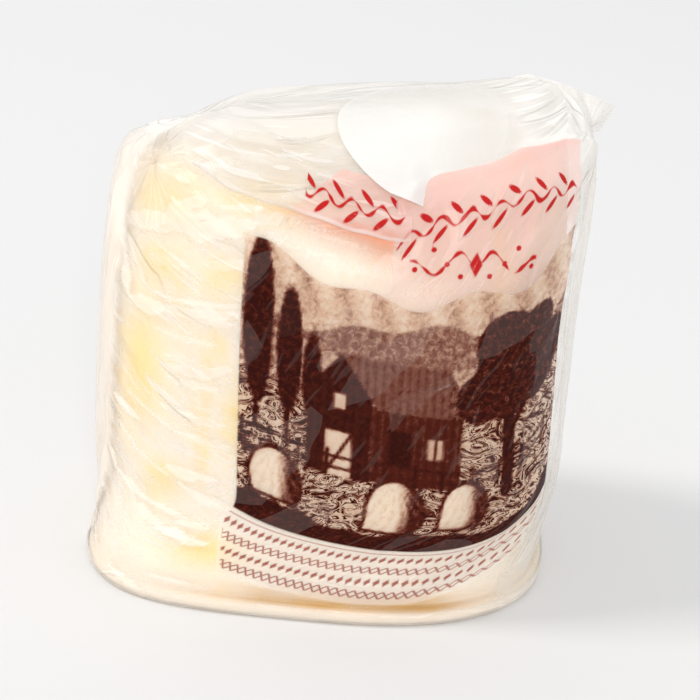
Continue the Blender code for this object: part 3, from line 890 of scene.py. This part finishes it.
def printed_inks(tree, value, flat, under):
    """Lay the pink wash, the brown picture and the red vine over what is under them.  The
    pink is a little deeper or paler on each flat of the film.  The second thing returned
    is 1 inside the picture and 0 outside."""
    def inside(distance, soft=0.18):
        return distance.over(soft, -soft)

    def stroke(line, half_width):
        return inside((value[line].math("ABSOLUTE") - half_width).math(
            "MAXIMUM", value[line + "_reach"]))

    surface = add_node(tree, "UVMap", uv_map="surface_mm")
    leaves = surface.noise(0.85, 4.0, 0.65, 0.5)
    blown = add_node(tree, "Mapping", {"Vector": surface, "Scale": (0.7, 1.2, 1.0)})
    stalks = blown.noise(0.25, 1.4, distortion=3.4)
    outlined = (stalks * 6.0).math("PINGPONG", 0.5).over(0.08, 0.20, -0.55, 0.20)
    stalk_cut = outlined + stalks.over(0.42, 0.46, -0.55, 0.0)
    tone = (value["tone"] + value["leafy"] * ((leaves - 0.5) * 4.0) + value["straw"] * stalk_cut)
    brown = add_node(tree, "ValToRGB", {"Fac": tone}, stops=INK_STOPS)
    picture = inside(value["picture"])
    fading = value["below_picture"].over(48.0, 78.0, 0.14, 0.72)
    deeper = flat.over(0.0, 1.0, 0.72, 1.18)
    # the red vine and flourish, drawn with a pen that swells
    pen = (surface.noise(0.45, 0.0) - 0.27) * 1.45
    drawn = stroke("vine", pen).math("MAXIMUM", stroke("flourish", pen))
    reach = value["vine_reach"].math("MINIMUM", value["flourish_reach"])
    leaf = inside(value["leaves"].math("MAXIMUM", reach), 0.10)
    # two rows of small lozenges and a fine line on a pale panel below the picture
    across = add_node(tree, "SeparateXYZ", {0: surface}).math("PINGPONG", 0.9)
    down = value["below_picture"] + 2.9
    row = down.math("PINGPONG", 1.6)
    lozenges = across + row * 0.65 - 0.62
    chevrons = ((row * 0.9 - across).math("ABSOLUTE") - 0.22).math("MAXIMUM", row - 1.0)
    odd = down.math("PINGPONG", 3.2).math("GREATER_THAN", 1.6)
    beads = add_node(tree, "Mix", {"Factor": odd, "A": lozenges, "B": chevrons})
    line = (value["below_picture"] + 1.0).math("ABSOLUTE") - 0.16
    beads = inside(beads.math("MINIMUM", line).math("MAXIMUM", value["border"]))
    for colour, roughness, cover in (
            (linear("f4bfb4"), 0.55, inside(value["wash"]) * (fading * deeper)),
            (brown, 0.5, picture * tone.over(0.35, 0.95, 1.0, 0.55)),
            (linear("b9090c"), 0.5, drawn.math("MAXIMUM", leaf) * 0.97),
            (linear("fcf5ee"), 0.5, inside(value["border"] - 0.8) * 0.30),
            (linear("93402f"), 0.5, beads * 0.84),
            # this peach ink paints the shade under the flap
            (linear("f3a07a"), 0.5, value["peach"] * 0.80)):
        ink = add_node(tree, "BsdfPrincipled", {"Base Color": colour, "Roughness": roughness,
                                                "Specular IOR Level": 0.0})
        under = cover.blend(under, ink)
    return under, picture


clear_film = film_material("clear_shrink_film", False)
printed_film = film_material("printed_shrink_film", True)
front = slice(0, front_columns + 1)
back = np.append(np.arange(front_columns, film_points.shape[1]), 0)
film_uv_back = film_uv[:, back].copy()
film_uv_back[:, -1, 0] = end_arc
front_film = grid_piece("front_film", film_points[:, front], printed_film,
                        {k: v[:, front] for k, v in layers.items()}, film_uv[:, front],
                        fold_ways(film_s[:, front], film_h[:, front]))
back_film = grid_piece("back_film", film_points[:, back], clear_film,
                       {k: layers[k][:, back] for k in CLEAR_LAYERS}, film_uv_back,
                       fold_ways(film_uv_back[..., 0], film_uv_back[..., 1]))


def sampled(field, row, column):
    """Values of a grid field at fractional rows and columns, straight between points."""
    row = np.clip(row, 0, field.shape[0] - 1.001)
    column = np.clip(column, 0, field.shape[1] - 1.001)
    r, c = row.astype(int), column.astype(int)
    fr, fc = row - r, column - c
    if field.ndim == 3:
        fr, fc = fr[..., None], fc[..., None]
    return ((field[r, c] * (1 - fr) + field[r + 1, c] * fr) * (1 - fc)
            + (field[r, c + 1] * (1 - fr) + field[r + 1, c + 1] * fr) * fc)


def off_film(s, h, lift):
    """Points lifted off the taut film at s, h.  The row is found by stepping on by the
    height that is still missing."""
    column = (s - left_arc) / CELL
    row = base_row + h / CELL
    for _ in range(12):
        row = row + (h - sampled(film_h, row, column)) / CELL
    return sampled(taut, row, column) + sampled(film_normal, row, column) * lift[..., None]


# The flap: the slack of the top laps over the front wall with a rounded folded edge.
FLAP_STEPS = (44, 190)
FLAP_SPAN = (-43.5, 1.5)  # mm round the waist
FLAP_DEPTH = 15.0  # mm from its edge up to where it joins the top
FLAP_HEM = 0.8  # mm, the fold's thickness
FLAP_PINK = -21.0  # mm round the waist, where the pink begins
t = np.linspace(0, 1, FLAP_STEPS[1])[None, :]
w = (np.linspace(0, 1, FLAP_STEPS[0]) ** 1.6)[:, None]
flap_s = FLAP_SPAN[0] + (FLAP_SPAN[1] - FLAP_SPAN[0]) * t + 0 * w
edge_h = np.interp(flap_s, *FLAP_EDGE) + 0.30 * np.sin(flap_s / 4.1) + 0.10 * np.sin(flap_s / 1.3)
depth = FLAP_DEPTH * ease(0, 0.22, t) * (1 - 0.45 * ease(0.8, 1, t)) + 0.4
hem = np.sqrt(np.clip(1 - (1 - np.clip(w * depth / FLAP_HEM, 0, 1)) ** 2, 0, 1))
flap_h = edge_h + w * depth
above_edge = flap_h - edge_h
lift = (0.15 + (FLAP_HEM + 0.4) * hem * (1 - ease(0.10, 1, w) * 0.95)
        + crumpled(flap_s, flap_h, 51, (-46, 4, 78, 110), 70, -14, 3.0, 0.35) * hem * (1 - w)
        + sampled(relief, base_row + flap_h / CELL, (flap_s - left_arc) / CELL) * w)
flap_layers = print_layers(flap_s, flap_h, edge_h + 4.5, (-18.8, 0.8),
                           np.maximum(FLAP_PINK - flap_s + 0.8 * above_edge, above_edge - 11))
for layer in ("picture", "flourish_reach", "border"):
    flap_layers[layer] = np.full_like(flap_s, 9.0)
flap_layers["haze"] = 0.10 + (0.30 + 0.25 * ease(-30, -14, flap_s)) * ease(0.8, 0.3, w * depth)
flap_layers["slack"] = 0.8 + 0 * flap_s
flap_layers["peach"] = flap_layers["warmth"] = 0 * flap_s
flap = grid_piece("top_flap", off_film(flap_s, flap_h, lift), printed_film, flap_layers,
                  np.stack([flap_s, flap_h], -1), np.stack([flap_s, above_edge + 300], -1))

for piece in (front_film, back_film, flap):
    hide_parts("cheese_bag")


# ==== Round label ================
# A round milky white label of thin film, stuck on the slope of the top.  Its lower
# right edge lies under the edge of the front wall.
LABEL_CELLS = 90
LABEL_LIFT = 0.35  # mm above the taut film

# Newton steps on the film's grid find the row and column of each point of the label:
# xr is how x grows with the row, xc with the column, and so on.
a, b = np.meshgrid(np.linspace(-1, 1, LABEL_CELLS), np.linspace(-1, 1, LABEL_CELLS))
want_x = a * np.sqrt(1 - b * b / 2) * LABEL_RADIUS
want_y = b * np.sqrt(1 - a * a / 2) * LABEL_RADIUS
near_row, near_column = np.unravel_index(nearest, taut.shape[:2])
row, column = near_row + want_y / CELL, near_column + want_x / CELL
places = np.stack([label_x, label_y, *np.gradient(label_x), *np.gradient(label_y)], -1)
for _ in range(25):
    x, y, xr, xc, yr, yc = np.moveaxis(sampled(places, row, column), -1, 0)
    off_x, off_y = want_x - x, want_y - y
    scale = xc * yr - xr * yc
    scale = np.where(np.abs(scale) < 1e-3, 1e-3, scale)
    column = column + np.clip((off_x * yr - off_y * xr) / scale, -6, 6)
    row = row + np.clip((off_y * xc - off_x * yc) / scale, -6, 6)
over_flap = sampled(film_h, row, column) - np.interp(column * CELL + left_arc, *FLAP_EDGE)
over_flap = (ease(-1.0, 1.0, over_flap) * ease(FLAP_DEPTH + 4, 9, over_flap)
             * ease(5.0, 0.5, column * CELL + left_arc))
label_lift = (LABEL_LIFT + 1.3 * over_flap
              + (0.2 + 0.8 * over_flap) * sampled(relief, row, column).clip(0, 1.4))
label_points = (sampled(taut, row, column)
                + sampled(film_normal, row, column) * label_lift[..., None])

tree, label_white = new_material("milky_white_label_film")
ripples = add_node(tree, "UVMap", uv_map="surface_mm").noise(0.22, 2.0)
skin = add_node(tree, "BsdfPrincipled", {"Base Color": linear("f8f7f5"), "Roughness": 0.22,
                                         "Normal": ripples.bump(0.5, 0.6 * MM)})
clear = add_node(tree, "BsdfTransparent", {"Color": (1, 1, 1, 1)})
add_node(tree, "OutputMaterial", {"Surface": attribute(tree, "milk").blend(clear, skin)})
milk = 0.35 + 0.40 * ease(11, 2, want_y) * ease(13, -1, want_x)
milk *= 1 - ease(LABEL_RADIUS - 3, LABEL_RADIUS, np.hypot(want_x, want_y)) * ease(0, 8, want_x)
label = grid_piece("white_round_label", label_points, label_white, {"milk": milk},
                   np.stack([want_x, want_y], -1))
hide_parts("round_label")


# ==== Gathered corner ================
# Past the right end of the seam the two sheets of film go on as a flat crumpled fan,
# gathered at a neck beside the body.  Its outer edge is the weld of the seam.
FAN_NECK = (44.0, -2.0, 93.6)  # mm
FAN_EDGE = ((18.0, 3.0, 98.4), (24.0, 3.5, 99.8), (31.6, 4.0, 102.2), (35.5, 4.3, 101.6),
            (41.5, 5.0, 100.0), (46.5, 6.0, 98.2), (50.4, 8.0, 96.7), (49.2, 6.0, 94.6),
            (47.2, 3.0, 92.2))
FAN_STEPS = (60, 150)
FAN_FOLDS = 5.0  # folds across the fan
FAN_GAPE = 1.0  # mm between the sheets
FAN_OUT = (0.35, -0.80, 0.48)  # the way that the front sheet faces
FAN_UV = (60, 25)  # mm, the crinkles' plan across and along the fan


def fan_sheet(facing, seed):
    """One sheet: rows from the neck to the edge, columns along the edge.  Folds run
    from the neck outwards as sharp zigzags, flat again at the weld."""
    random = np.random.default_rng(seed)
    edge = np.array(FAN_EDGE)
    along = np.append(0, np.cumsum(np.linalg.norm(np.diff(edge, axis=0), axis=1)))
    t = np.linspace(0, 1, FAN_STEPS[1])
    rim = np.stack([np.interp(t, along / along[-1], edge[:, k]) for k in range(3)], -1)
    r = np.linspace(0.03, 1, FAN_STEPS[0])[:, None]
    points = np.array(FAN_NECK) + (rim - FAN_NECK)[None] * r[..., None]
    phase = t[None] * FAN_FOLDS + 0.15 * np.sin(5 * t + random.uniform(0, 6))[None]
    large, small = (np.abs((phase * share + random.uniform(0, 1)) % 1 - 0.5) * 4 - 1
                    for share in (1, 2.7))
    height = np.sqrt(r * (1.02 - r)) * (1.25 * large + 0.35 * small)
    bulge = FAN_GAPE * np.sin(np.pi * r) * (0.6 + 0.4 * np.sin(7 * t))[None]
    out = np.array(FAN_OUT) * facing
    return points + out * (bulge + height * facing)[..., None], r + 0 * t[None]


for name, facing, seed in (("corner_fan_front", 1, 31), ("corner_fan_back", -1, 32)):
    sheet_points, reach = fan_sheet(facing, seed)
    fan_uv = np.stack(np.meshgrid(np.linspace(0, FAN_UV[0], FAN_STEPS[1]),
                                  np.linspace(0, FAN_UV[1], FAN_STEPS[0])), -1)
    fan = grid_piece(name, sheet_points[:, ::facing], clear_film,
                     {"haze": 0.38 + 0.1 * reach, "slack": 0.08 + 0 * reach,
                      "warmth": 0 * reach}, fan_uv, fan_uv)
    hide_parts("cheese_bag")
